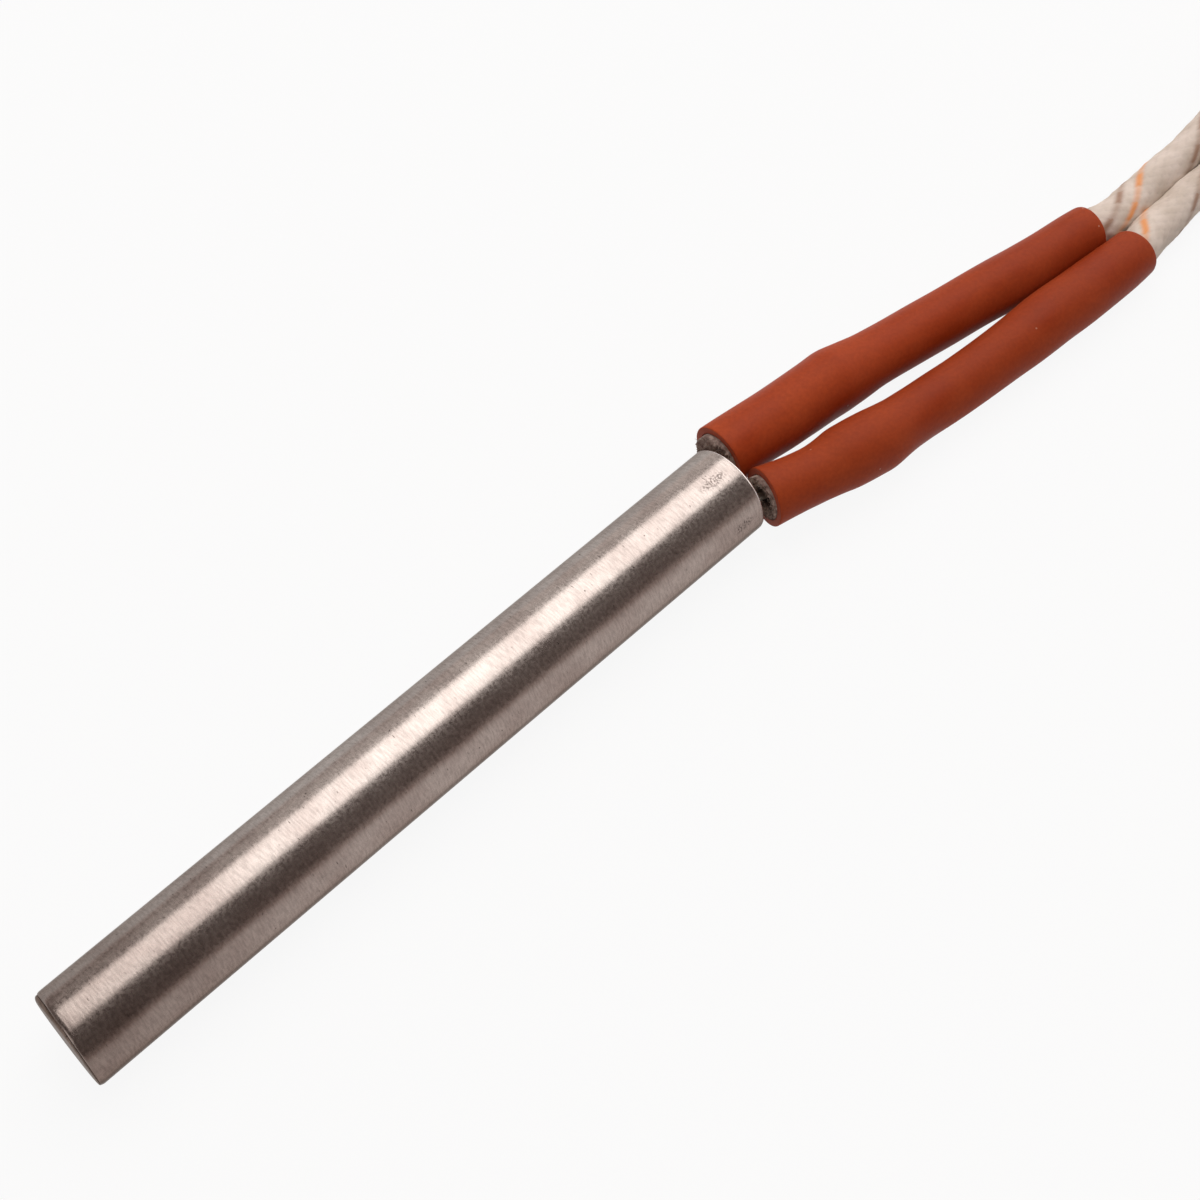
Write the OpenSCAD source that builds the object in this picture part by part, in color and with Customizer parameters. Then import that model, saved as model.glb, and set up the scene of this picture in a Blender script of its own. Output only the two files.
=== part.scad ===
// Cartridge heater: a ground metal sheath with a wound element inside, two rubber sleeves over the
// terminals and two braided leads. Millimetres, +Z up. The sheath lies along X with the middle of its
// lead end at the origin, its tip towards -X and its leads towards +X.

/* [Sheath] */
// Outside diameter of the sheath
sheath_d = 9.5; // [8.5:0.1:12.7]
// Overall length with the end disc
sheath_len = 80; // [60:1:160]
// Wall of the sheath tube
sheath_wall = 0.7; // [0.5:0.05:0.9]
// Bevel round the bore at the lead end
bore_bevel = 0.15; // [0.05:0.05:0.3]
// Thickness of the end disc's flange
flange_len = 0.6; // [0.4:0.1:1.2]
// Rounding of the flange's outer edge
flange_round = 0.3; // [0.1:0.05:0.35]
// Bevel of the flange at the seam with the tube
seam_bevel = 0.1; // [0.05:0.05:0.2]
// Depth of the end disc's spigot in the bore
spigot_len = 2; // [1:0.5:4]
// Clearance on the radius of each piece inside the bore
bore_gap = 0.05; // [0.02:0.01:0.1]

/* [Element] */
// Thickness of the insulating fill round the winding
fill_wall = 0.34; // [0.2:0.02:0.8]
// Wall of the core outside each hole for a pin
core_web = 0.2; // [0.1:0.05:0.5]
// Diameter of the resistance wire
wire_d = 0.4; // [0.3:0.05:0.5]
// Distance from turn to turn
coil_pitch = 2.1; // [1.6:0.1:4]
// Length of unwound core at each end
coil_inset = 2; // [1:0.5:6]
// Clearance between the winding and what it lies against
turn_gap = 0.02; // [0.01:0.01:0.05]
// Room past each end of the core for the tail of the wire
tail_room = 1; // [0.8:0.1:2]
// Thickness of the spacer behind the end disc
spacer_len = 2; // [1:0.5:4]

/* [Terminals] */
// Diameter of the terminal pins
pin_d = 1.2; // [1:0.1:1.3]
// Clearance on the radius of each hole for a pin
pin_gap = 0.05; // [0.02:0.01:0.1]
// Depth of the short pin in the core
pin_depth = 10; // [4:1:20]
// Straight length of the pins outside the sheath
pin_straight = 1; // [0.5:0.1:1.5]
// Thinning of the pins between their bends
pin_thinning = 0.1; // [0.05:0.01:0.2]
// Length of the pins' last leg before the barrel
pin_lean = 4; // [3:0.2:5]
// Overlap of the pins' legs at their bends
pin_overlap = 0.3; // [0.2:0.05:0.4]
// Length of the ceramic seal at the lead end
seal_len = 4.4; // [3:0.2:8]
// How far the seal lies inside the lead end
seal_recess = 0.6; // [0.2:0.1:2]
// Outside diameter of the crimp barrels
barrel_d = 4.7; // [4:0.1:5]
// Length of the crimp barrels
barrel_len = 5.6; // [5:0.2:7]
// Distance of the barrels from the sheath
barrel_x = 10.6; // [9:0.2:13]
// Bevel at the ends of the barrels
barrel_bevel = 0.4; // [0.2:0.1:0.5]
// Depth of each end bore of a barrel
barrel_bore = 2.5; // [2:0.1:2.7]
// Gap between a barrel and the braid of its lead
jacket_gap = 0.2; // [0.1:0.05:0.4]
// Depth of the crimp dents
dent_depth = 0.4; // [0.2:0.1:0.5]
// Radius of the crimp dents
dent_r = 1; // [0.6:0.1:1.4]
// Place of the dents from each end, as a share of the barrel's length
dent_share = 0.28; // [0.2:0.01:0.35]

/* [Sleeves] */
// Wall of the rubber sleeves
sleeve_wall = 0.5; // [0.4:0.05:0.7]
// Wall of the glass-fibre linings
lining_wall = 0.3; // [0.2:0.05:0.5]
// Clearance between a lining and its sleeve
lining_gap = 0.02; // [0.01:0.01:0.05]
// Clearance between a lining and what it wraps
wrap_gap = 0.12; // [0.1:0.01:0.2]
// How far the fibres stand out of the cut end
lining_out = 0.5; // [0.2:0.1:0.8]
// How far outside its pin the left sleeve's cut end lies
mouth_off_a = 1.15; // [0.8:0.05:1.2]
// How far outside its pin the right sleeve's cut end lies
mouth_off_b = 0.7; // [0.5:0.05:1.2]
// Outside diameter of the left sleeve at its cut end
mouth_d_a = 6.6; // [6.2:0.1:7]
// Outside diameter of the right sleeve at its cut end
mouth_d_b = 6; // [5.8:0.1:6.4]
// Bore of the bunched fibres at the cut ends
mouth_bore = 3.8; // [3.7:0.1:4]
// Length over which the left sleeve narrows behind its barrel
taper_a = 7.4; // [5:0.2:9]
// Length over which the right sleeve widens and narrows at its barrel
taper_b = 2.8; // [2.4:0.1:3]
// Thinning of the sleeve walls towards the far ends
end_thinning = 0.18; // [0:0.02:0.2]

/* [Leads] */
// Outside diameter of the braided leads
lead_d = 3.8; // [3.4:0.1:3.8]
// Diameter of the stranded conductors
conductor_d = 2.2; // [1.6:0.1:2.4]
// Length of each lead from the sheath to the end of its braid
lead_len = 294; // [290:1:302]
// Length of the stripped end of each lead
strip_len = 8; // [5:0.5:12]

/* [Hank] */
// Radius of the inner fold of the hank
fold_r = 11.5; // [11.5:0.1:12]
// Length of the hank's straight runs
run_len = 42; // [40:1:44]
// Clearance between neighbouring leads in the hank
lane_gap = 0.2; // [0.2:0.05:0.3]
// Distance of the tie from the start of the hank
tie_off = 5; // [4:0.5:8]
// Width of the tie
tie_w = 4; // [2.5:0.5:5]
// Thickness of the tie
tie_t = 0.8; // [0.6:0.1:0.9]
// Height of the tie's head
tie_head = 2.4; // [2:0.1:4]
// Length of the tie's head
tie_head_len = 3.6; // [3:0.1:5]

/* [Hidden] */
$fn = 64;
sleeve_sides = 18;
lead_sides = 8;
wire_sides = 5;
rings_per_turn = 14;
ring_step = 4;

bore_r = sheath_d / 2 - sheath_wall;
fill_r = bore_r - bore_gap;
floor_z = -sheath_d / 2;

disc_x = -sheath_len + flange_len;
spacer_x = disc_x + spigot_len;
core_x = spacer_x + spacer_len + tail_room;
seal_x = -seal_recess - seal_len;
core_end = seal_x - tail_room;
core_len = core_end - core_x;

coil_r = fill_r - fill_wall - turn_gap - wire_d / 2;
core_r = coil_r * cos(180 / rings_per_turn) - wire_d / 2 - turn_gap;
turns = floor((core_len - 2 * coil_inset) / coil_pitch);
coil_x = (core_x + core_end - turns * coil_pitch) / 2;
pin_hole_r = pin_d / 2 + pin_gap;
pin_y = core_r - core_web - pin_hole_r;
tail_r = pin_y + pin_d / 2 + turn_gap;

barrel_end = barrel_x + barrel_len;
lead_r = lead_d / 2;
narrow_r = lead_r + wrap_gap + lining_wall + lining_gap;
bulge_r = barrel_d / 2 + wrap_gap + lining_wall + lining_gap;

lane = lead_d + lane_gap;
hank_x = 93;
hank_y = -11.5;
run_in = 1.5;
outer_r = fold_r + lane;
layer_z = floor_z + tie_t + lane / 2;
hank_z = floor_z + tie_t;
tie_x = hank_x + tie_off;

// Where the sleeves and the leads run, from the cut end of each sleeve to the hank
route_a = [
    [2, pin_y + mouth_off_a, 0], [6, 3.1, -0.1], [10, 2.75, -0.3], [14, 2.4, -0.5], [18, 2.05, -0.8],
    [22, 1.45, -1.1], [26, 0.85, -1.4], [30, 0.3, -1.6], [35, -0.4, -1.8], [40, -1.1, -1.9],
    [45, -1.8, -1.9], [51.5, -2.55, -1.9], [57, -3.05, -2.4], [61, -3.1, -2.8], [65, -3.1, -2.85],
    [70, -2.85, -2.85], [75, -2.2, -2.75], [80, -0.7, -2.5], [84, 1.4, -2.25], [88, 3.3, -2.05],
    [hank_x - run_in, hank_y + outer_r, layer_z], [hank_x, hank_y + outer_r, layer_z]
];
route_b = [
    [1.7, -pin_y - mouth_off_b, 0], [5, -3.75, -0.2], [8, -4.5, -0.4], [12, -5.25, -0.7], [16, -5.8, -1],
    [20, -6.15, -1.3], [25, -6.65, -1.6], [30, -7.05, -1.8], [35, -7.4, -1.9], [40, -7.7, -1.9],
    [45, -8, -1.9], [53, -8.35, -1.9], [57, -7.9, -2.4], [61, -7.35, -2.8], [65, -7, -2.85],
    [70, -6.95, -2.85], [75, -6.5, -2.75], [80, -5.2, -2.5], [84, -3.1, -2.25], [88, -1, -2.05],
    [hank_x - run_in, hank_y + fold_r, layer_z], [hank_x, hank_y + fold_r, layer_z]
];
mouth_a = route_a[0][0];
mouth_b = route_b[0][0];
sleeve_end_a = 51.5;
sleeve_end_b = 53;

path_a = spline(route_a, 6);
path_b = spline(route_b, 6);

// Rows of distance and rubber bore, one for each ring of a sleeve
mouth_r_a = mouth_d_a / 2 - sleeve_wall;
mouth_r_b = mouth_d_b / 2 - sleeve_wall;
flare = 3;
far_a = barrel_end + taper_a;
far_b = barrel_end + taper_b;
rows_a = concat(
    [[mouth_a, mouth_r_a], [mouth_a + flare, mouth_r_a], [barrel_x - barrel_bevel, bulge_r],
     [barrel_end, bulge_r], [mix(barrel_end, far_a, 0.2), bulge_r],
     [mix(barrel_end, far_a, 0.6), mix(bulge_r, narrow_r, 0.55)], [far_a, narrow_r]],
    [for (x = [far_a + ring_step : ring_step : sleeve_end_a - ring_step / 2]) [x, narrow_r]],
    [[sleeve_end_a, narrow_r]]);
rows_b = concat(
    [[mouth_b, mouth_r_b], [mouth_b + flare / 2, mix(mouth_r_b, narrow_r, 0.6)],
     [mouth_b + flare, narrow_r], [barrel_x - taper_b, narrow_r],
     [barrel_x - taper_b * 0.4, mix(narrow_r, bulge_r, 0.6)],
     [barrel_x + barrel_bevel / 2, bulge_r], [barrel_end - barrel_bevel / 2, bulge_r],
     [barrel_end + taper_b * 0.4, mix(bulge_r, narrow_r, 0.5)], [far_b, narrow_r]],
    [for (x = [far_b + ring_step : ring_step : sleeve_end_b - ring_step / 2]) [x, narrow_r]],
    [[sleeve_end_b, narrow_r]]);

barrel_a = [at_x(path_a, barrel_x), at_x(path_a, barrel_end)];
barrel_b = [at_x(path_b, barrel_x), at_x(path_b, barrel_end)];

// How far along the upper run each lead ends
end_a = lead_len - mouth_a - path_len(path_a) - 2 * run_len - 2 * PI * outer_r;
end_b = lead_len - mouth_b - path_len(path_b) - 2 * run_len - 2 * PI * fold_r;

function mix(a, b, t) = a + (b - a) * t;
function unit(v) = v / norm(v);
function path_len(p) = let (d = [for (i = [1 : len(p) - 1]) norm(p[i] - p[i - 1])]) d * [for (x = d) 1];

// A smooth curve through the points, cut into n steps for each stretch
function spline_at(a, b, c, d, t) = 0.5 * (2 * b + (c - a) * t + (2 * a - 5 * b + 4 * c - d) * t * t
    + (3 * b - a - 3 * c + d) * t * t * t);
function spline(p, n) = let (m = len(p) - 1) concat(
    [for (i = [0 : m - 1]) for (k = [0 : n - 1])
        spline_at(p[max(i - 1, 0)], p[i], p[i + 1], p[min(i + 2, m)], k / n)],
    [p[m]]);

// The point of a path at distance x along the object
function at_x(p, x) = [x, lookup(x, [for (q = p) [q[0], q[1]]]), lookup(x, [for (q = p) [q[0], q[2]]])];

// The rings of a round section swept along a path
function heading(p, i) = unit(p[min(i + 1, len(p) - 1)] - p[max(i - 1, 0)]);
function rings(p, r, sides, up) = [for (i = [0 : len(p) - 1])
    let (t = heading(p, i), u = unit(cross(up, t)), v = cross(t, u))
        for (k = [0 : sides - 1]) let (a = 360 * k / sides) p[i] + r[i] * (cos(a) * u + sin(a) * v)];
function skin(n, sides, first) = [for (i = [0 : n - 2]) for (k = [0 : sides - 1])
    let (a = first + i * sides + k, b = first + i * sides + (k + 1) % sides)
        each [[a, a + sides, b + sides], [a, b + sides, b]]];
function turned(faces) = [for (f = faces) [f[2], f[1], f[0]]];
function same(n, r) = [for (i = [1 : n]) r];

module rod_along(p, r, sides, up) {
    n = len(p);
    polyhedron(
        points = rings(p, r, sides, up),
        faces = concat(skin(n, sides, 0), [[for (k = [0 : sides - 1]) k]],
            [[for (k = [0 : sides - 1]) n * sides - 1 - k]]));
}

module tube_along(p, outer, inner, sides) {
    n = len(p);
    in0 = n * sides;
    last = (n - 1) * sides;
    rims = [for (k = [0 : sides - 1]) let (j = (k + 1) % sides)
        each [[k, j, in0 + j], [k, in0 + j, in0 + k],
              [last + j, last + k, in0 + last + k], [last + j, in0 + last + k, in0 + last + j]]];
    polyhedron(
        points = concat(rings(p, outer, sides, [0, 0, 1]), rings(p, inner, sides, [0, 0, 1])),
        faces = concat(skin(n, sides, 0), turned(skin(n, sides, in0)), rims));
}

module along_x(x) {
    translate([x, 0, 0]) rotate([0, 90, 0]) children();
}

module point_along(p, q) {
    v = q - p;
    translate(p) rotate([0, acos(v[2] / norm(v)), atan2(v[1], v[0])]) children();
}

module rod(p, q, d) {
    point_along(p, q) cylinder(d = d, h = norm(q - p));
}

module pin_holes(x, h) {
    for (side = [-1, 1]) translate([0, side * pin_y, 0])
        along_x(x - 1) cylinder(r = pin_hole_r, h = h + 2);
}

module sheath_tube() {
    color("silver") along_x(disc_x) rotate_extrude() polygon([
        [bore_r, 0], [sheath_d / 2, 0], [sheath_d / 2, -disc_x],
        [bore_r + bore_bevel, -disc_x], [bore_r, -disc_x - bore_bevel]]);
}

module end_disc() {
    flange_r = sheath_d / 2;
    color("lightgrey") along_x(-sheath_len) union() {
        rotate_extrude() union() {
            polygon([[0, 0], [flange_r - flange_round, 0], [flange_r - flange_round, flange_round],
                [flange_r, flange_round], [flange_r, flange_len - seam_bevel],
                [flange_r - seam_bevel, flange_len], [0, flange_len]]);
            intersection() {
                translate([flange_r - flange_round, flange_round]) circle(flange_round);
                translate([flange_r - flange_round, 0]) square(flange_round);
            }
        }
        translate([0, 0, flange_len]) cylinder(r = fill_r, h = spigot_len);
    }
}

module tip_spacer() {
    color("ivory") along_x(spacer_x) cylinder(r = fill_r, h = spacer_len);
}

module winding_core() {
    color("white") difference() {
        along_x(core_x) cylinder(r = core_r, h = core_len);
        pin_holes(core_x, core_len);
    }
}

module resistance_coil() {
    tip_x = core_x - tail_room / 2;
    lead_x = core_end + tail_room / 2;
    half = rings_per_turn / 2;
    wound = turns * rings_per_turn;
    coil_end = coil_x + turns * coil_pitch;
    start_turn = [for (i = [0 : half - 1])
        let (a = 180 + 180 * i / half) [mix(tip_x, coil_x, i / half), coil_r * cos(a), coil_r * sin(a)]];
    main_turns = [for (i = [0 : wound])
        let (a = 360 * i / rings_per_turn)
            [coil_x + coil_pitch * i / rings_per_turn, coil_r * cos(a), coil_r * sin(a)]];
    end_turn = [for (i = [1 : rings_per_turn])
        let (a = 360 * i / rings_per_turn)
            [mix(coil_end, lead_x, i / rings_per_turn), coil_r * cos(a), coil_r * sin(a)]];
    wire = concat([[tip_x, -tail_r, 0]], start_turn, main_turns, end_turn, [[lead_x, tail_r, 0]]);
    color("dimgrey") rod_along(wire, same(len(wire), wire_d / 2), wire_sides, [1, 0, 0]);
}

module insulating_fill() {
    color("wheat") along_x(core_x) difference() {
        cylinder(r = fill_r, h = core_len);
        translate([0, 0, -1]) cylinder(r = fill_r - fill_wall, h = core_len + 2);
    }
}

module lead_end_seal() {
    color("white") difference() {
        along_x(seal_x) cylinder(r = fill_r, h = seal_len);
        pin_holes(seal_x, seal_len);
    }
}

// A pin that leaves the seal straight, leans over to its sleeve and runs into the barrel
module terminal_pin(from_x, y, barrel) {
    aim = unit(barrel[1] - barrel[0]);
    bend = [pin_straight, y, 0];
    lean = barrel[0] - pin_lean * aim;
    tip = barrel[0] + (barrel_bore - pin_gap) * aim;
    color("gainsboro") union() {
        rod([from_x, y, 0], bend + [pin_overlap, 0, 0], pin_d);
        rod(bend, lean, pin_d - pin_thinning);
        rod(lean - pin_overlap * aim, tip, pin_d);
    }
}

module terminal_pin_a() {
    terminal_pin(core_end - pin_depth, pin_y, barrel_a);
}

module terminal_pin_b() {
    terminal_pin(core_x - tail_room + pin_gap, -pin_y, barrel_b);
}

// A barrel with a bore for the pin, a bore for the conductor and a dent over each
module crimp_barrel(ends) {
    h = norm(ends[1] - ends[0]);
    color("darkgrey") point_along(ends[0], ends[1]) difference() {
        rotate_extrude() polygon([
            [0, 0], [barrel_d / 2 - barrel_bevel, 0], [barrel_d / 2, barrel_bevel],
            [barrel_d / 2, h - barrel_bevel], [barrel_d / 2 - barrel_bevel, h], [0, h]]);
        translate([0, 0, -1]) cylinder(r = pin_hole_r, h = barrel_bore + 1);
        translate([0, 0, h - barrel_bore]) cylinder(d = conductor_d + 2 * pin_gap, h = barrel_bore + 1);
        for (z = [h * dent_share, h * (1 - dent_share)])
            translate([-barrel_d / 2 - dent_r + dent_depth, 0, z]) sphere(r = dent_r);
    }
}

module crimp_barrel_a() {
    crimp_barrel(barrel_a);
}

module crimp_barrel_b() {
    crimp_barrel(barrel_b);
}

module conductor(ends) {
    aim = unit(ends[1] - ends[0]);
    inner_end = ends[1] - (barrel_bore - pin_gap) * aim;
    color("peru") rod(inner_end, ends[1] + jacket_gap / 2 * aim, conductor_d);
}

module conductor_a() {
    conductor(barrel_a);
}

module conductor_b() {
    conductor(barrel_b);
}

module sleeve_lining(path, rows) {
    p = [for (row = rows) at_x(path, row[0])];
    back = lining_out * unit(p[0] - p[1]);
    outer = [for (row = rows) row[1] - lining_gap];
    inner = [for (i = [0 : len(rows) - 1]) i == 0 ? mouth_bore / 2 : outer[i] - lining_wall];
    color("dimgray") tube_along(
        concat([p[0] + back], p), concat([outer[0]], outer), concat([mouth_bore / 2], inner),
        sleeve_sides);
}

module sleeve_lining_a() {
    sleeve_lining(path_a, rows_a);
}

module sleeve_lining_b() {
    sleeve_lining(path_b, rows_b);
}

module sleeve(path, rows) {
    far = rows[len(rows) - 1][0];
    thin = [for (row = rows) end_thinning * max(0, 1 - (far - row[0]) / (far - barrel_end))];
    color("firebrick") tube_along(
        [for (row = rows) at_x(path, row[0])],
        [for (i = [0 : len(rows) - 1]) rows[i][1] + sleeve_wall - thin[i]],
        [for (row = rows) row[1]], sleeve_sides);
}

module sleeve_a() {
    sleeve(path_a, rows_a);
}

module sleeve_b() {
    sleeve(path_b, rows_b);
}

// The braided jacket from the barrel to the hank
module lead(path) {
    start = barrel_end + jacket_gap;
    stations = concat([for (x = [start : ring_step : hank_x - ring_step]) x], [hank_x - run_in, hank_x]);
    p = [for (x = stations) at_x(path, x)];
    color("linen") rod_along(p, same(len(p), lead_r), lead_sides, [0, 0, 1]);
}

module lead_a() {
    lead(path_a);
}

module lead_b() {
    lead(path_b);
}

module racetrack(r) {
    circle(r);
    translate([run_len, 0]) circle(r);
    translate([0, -r]) square([run_len, 2 * r]);
}

module lanes() {
    difference() {
        racetrack(outer_r + lane / 2);
        racetrack(fold_r - lane / 2);
    }
}

// Both leads folded once round, with their ends laid on the first run
module lead_hank() {
    reach = outer_r + lane;
    color("linen") translate([hank_x, hank_y, hank_z]) union() {
        linear_extrude(lane) difference() {
            lanes();
            translate([-reach, 0]) square(reach);
        }
        translate([0, 0, lane]) linear_extrude(lane) union() {
            intersection() {
                lanes();
                translate([-reach, -reach]) square([reach, 2 * reach]);
            }
            translate([0, fold_r - lane / 2]) square([end_b, lane]);
            translate([0, outer_r - lane / 2]) square([end_a, lane]);
        }
    }
}

module bare_end(r, x) {
    color("peru") translate([hank_x, hank_y + r, layer_z + lane])
        along_x(x) cylinder(d = conductor_d, h = strip_len);
}

module bare_end_a() {
    bare_end(outer_r, end_a);
}

module bare_end_b() {
    bare_end(fold_r, end_b);
}

module rounded(w, h, r) {
    translate([-r, 0]) square([w + 2 * r, h]);
    translate([0, -r]) square([w, h + 2 * r]);
    for (x = [0, w], y = [0, h]) translate([x, y]) circle(r);
}

module hank_tie() {
    side = 2 * lane;
    low = hank_y + fold_r - lane / 2;
    color("whitesmoke") union() {
        translate([tie_x, low, hank_z]) rotate([90, 0, 90]) linear_extrude(tie_w) difference() {
            rounded(side, side, tie_t);
            square(side);
        }
        translate([tie_x - tie_t, low + (side - tie_head_len) / 2, hank_z + side + tie_t])
            cube([tie_w + 2 * tie_t, tie_head_len, tie_head]);
    }
}

sheath_tube();
end_disc();
tip_spacer();
winding_core();
resistance_coil();
insulating_fill();
lead_end_seal();
terminal_pin_a();
terminal_pin_b();
crimp_barrel_a();
crimp_barrel_b();
conductor_a();
conductor_b();
sleeve_lining_a();
sleeve_lining_b();
sleeve_a();
sleeve_b();
lead_a();
lead_b();
lead_hank();
bare_end_a();
bare_end_b();
hank_tie();
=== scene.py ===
"""Looks of a cartridge heater: ground sheath, rubber sleeves with frayed linings, and braided leads."""
import math

import bpy
import numpy as np
from mathutils import Matrix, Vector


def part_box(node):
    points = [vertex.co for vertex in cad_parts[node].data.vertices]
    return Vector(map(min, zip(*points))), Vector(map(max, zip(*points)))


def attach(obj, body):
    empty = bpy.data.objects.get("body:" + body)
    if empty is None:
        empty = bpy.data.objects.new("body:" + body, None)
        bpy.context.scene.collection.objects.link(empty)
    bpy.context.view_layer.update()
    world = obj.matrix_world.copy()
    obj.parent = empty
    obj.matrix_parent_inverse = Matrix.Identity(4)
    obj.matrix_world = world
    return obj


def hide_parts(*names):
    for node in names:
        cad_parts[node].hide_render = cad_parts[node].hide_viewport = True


bl_info = {
    "name": "Cartridge heater looks",
    "version": (1, 0, 0),
    "blender": (4, 5, 0),
    "location": "View3D > Sidebar > Heater",
    "description": "Dresses the packed cartridge heater with its surfaces, cords and stage",
    "category": "Object",
}

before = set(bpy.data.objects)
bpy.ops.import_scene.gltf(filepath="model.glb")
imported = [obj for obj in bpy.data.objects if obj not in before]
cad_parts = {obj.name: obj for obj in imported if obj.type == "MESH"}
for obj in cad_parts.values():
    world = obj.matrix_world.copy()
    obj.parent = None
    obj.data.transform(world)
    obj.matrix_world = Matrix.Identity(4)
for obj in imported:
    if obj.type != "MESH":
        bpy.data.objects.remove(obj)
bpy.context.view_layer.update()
MM = 0.001

# The hank on the unseen length of the leads, in millimetres: the middle of its left fold, the radius of each fold,
# the length of a straight run, the spacing of the lanes and the height of the lower layer
HANK = (93.0, -11.5)
FOLD = {"a": 15.5, "b": 11.5}
RUN_LEN, LANE, LAYER_Z = 42.0, 4.0, -1.95
# The routes of the sleeves and leads in millimetres, from each sleeve's cut end to the hank
ROUTES = {
    "a": [
        (2, 3.4, 0), (6, 3.1, -0.1), (10, 2.69, -0.3), (14, 2.38, -0.5), (18, 2.11, -0.8),
        (22, 1.62, -1.1), (26, 1.03, -1.4), (30, 0.46, -1.55), (35, -0.28, -1.71), (40, -1.17, -1.76),
        (45, -1.92, -1.78), (51.5, -2.67, -1.84), (54.5, -3.2, -2.1), (57, -3.35, -2.4),
        (61, -3.12, -2.8), (65, -2.97, -2.85),
        (70, -2.75, -2.85), (75, -2.2, -2.75), (80, -0.7, -2.5), (84, 1.4, -2.25), (88, 3.3, -2.05),
        (91.5, 4, -1.95), (93, 4, -1.95),
    ],
    "b": [
        (1.7, -3.01, 0), (5, -3.88, -0.2), (8, -4.56, -0.4), (12, -5.17, -0.7), (16, -5.73, -1),
        (20, -6.08, -1.3), (25, -6.58, -1.6), (30, -6.97, -1.72), (35, -7.33, -1.68), (40, -7.54, -1.63),
        (45, -7.94, -1.65), (53, -8.17, -1.87), (57, -7.5, -2.4), (61, -7.18, -2.8), (65, -6.9, -2.85),
        (70, -6.9, -2.85), (75, -6.5, -2.75), (80, -5.2, -2.5), (84, -3.1, -2.25), (88, -1, -2.05),
        (91.5, 0, -1.95), (93, 0, -1.95),
    ],
}
# Outside radius of each sleeve along the object, in millimetres
SLEEVE_ROWS = {
    "a": [(2, 3.33), (6, 3.28), (10, 3.34), (13, 3.34), (17, 3.42), (19.5, 3.26), (22, 3.0), (24.5, 2.95),
          (30, 2.94), (36, 2.96), (40, 3.02), (44, 2.91), (48, 2.82), (52.4, 2.76)],
    "b": [(1.7, 3.1), (3.2, 2.96), (5, 2.86), (7.5, 2.86), (9.5, 3.06), (11, 3.3), (13, 3.38), (15, 3.32),
          (16.6, 3.16), (18.4, 2.96), (21, 2.88), (27, 2.88), (30, 2.91), (33, 2.96), (36, 3.05),
          (39, 3.12), (42, 3.1), (45, 3.03), (48, 2.95), (50, 2.9), (53.5, 2.74)],
}
# Where the crimps press a sleeve out on one side: distance, reach, angle in degrees and height
SLEEVE_BUMPS = {
    "a": [(17.3, 1.5, 70, 0.13), (13.0, 1.3, 250, 0.06), (30.0, 3.0, 60, 0.05), (44.0, 2.5, 60, 0.05)],
    "b": [(15.4, 1.3, 215, 0.1), (10.6, 1.2, 70, 0.08), (24.0, 2.4, 60, 0.05), (37.0, 3.0, 220, 0.05)],
}
# How each lining stands out of its cut end: mean and lean, angle of the lean in degrees, offset and radius of the
# throat round the pin
MOUTHS = {"a": (0.42, 0.32, 15.0, -1.0, 0.8), "b": (0.25, 0.3, 40.0, 0.25, 0.95)}
# Turn of each braid in yarns, and the numbers of its orange and brown yarns
TRACERS = {"a": (0.58, 1, (11, 7)), "b": (0.36, 10, (4,))}
# Where the slack braid bulges past the sleeves: distances along the lead and extra radius
SWELLS = {
    "a": ([34, 38, 41, 43, 47, 51, 54, 59], [0.3, 0.32, 0.18, 0.18, 0.2, 0.2, 0.12, 0.0]),
    "b": ([34, 39, 42, 45, 51], [0.28, 0.3, 0.22, 0.16, 0.03]),
}
# Where each lead's braid starts, in its crimp, and its length from the sheath's end to the end of the braid
JACKET_START, LEAD_LEN = 16.4, 294.0
# Length of the plain sheath up to the seam of its end disc, and the thickness of its wall
SHEATH_END, SHEATH_WALL = 79.66, 0.7
# How the weld seam and the end face lean along the sheath, in millimetres: by the share of the width, and evenly
SEAM_LEAN, FACE_LEAN = (0.39, -0.21), (0.23, -0.13)
# Height at which the sleeves and leads rest on the floor and flatten
RESTS_AT = -4.745


def linear(text):
    """An sRGB hex colour as linear RGBA: c/12.92 below 0.04045, else ((c+0.055)/1.055)^2.4."""
    c = np.array([int(text[i:i + 2], 16) / 255 for i in (1, 3, 5)])
    c = np.where(c <= 0.04045, c / 12.92, ((c + 0.055) / 1.055) ** 2.4)
    return (*[float(x) for x in c], 1.0)


def add(tree, kind, settings=None, inputs=None, out=0):
    """Adds one node, sets its properties and ramp stops, and links or sets its inputs. Gives back the output that
    is asked for, or the node itself where out is None."""
    node = tree.nodes.new(kind)
    for key, value in (settings or {}).items():
        if key == "stops":
            ramp = node.color_ramp.elements
            while len(ramp) < len(value):
                ramp.new(1.0)
            for stop, (at, shade) in zip(ramp, value):
                stop.position = at
                stop.color = shade if isinstance(shade, tuple) else (shade, shade, shade, 1.0)
        else:
            setattr(node, key, value)
    for key, value in (inputs or {}).items():
        if isinstance(value, bpy.types.NodeSocket):
            tree.links.new(value, node.inputs[key])
        else:
            node.inputs[key].default_value = value
    return node if out is None else node.outputs[out]


# Kinds of node and their settings
RANGE, MATH, MIX = "ShaderNodeMapRange", "ShaderNodeMath", "ShaderNodeMix"
NOISE, RAMP = "ShaderNodeTexNoise", "ShaderNodeValToRGB"
SOFT, TIMES, LARGER = {"interpolation_type": "SMOOTHSTEP"}, {"operation": "MULTIPLY"}, {"operation": "MAXIMUM"}
BLEND, DARKEN = {"data_type": "RGBA"}, {"data_type": "RGBA", "blend_type": "MULTIPLY"}


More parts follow.
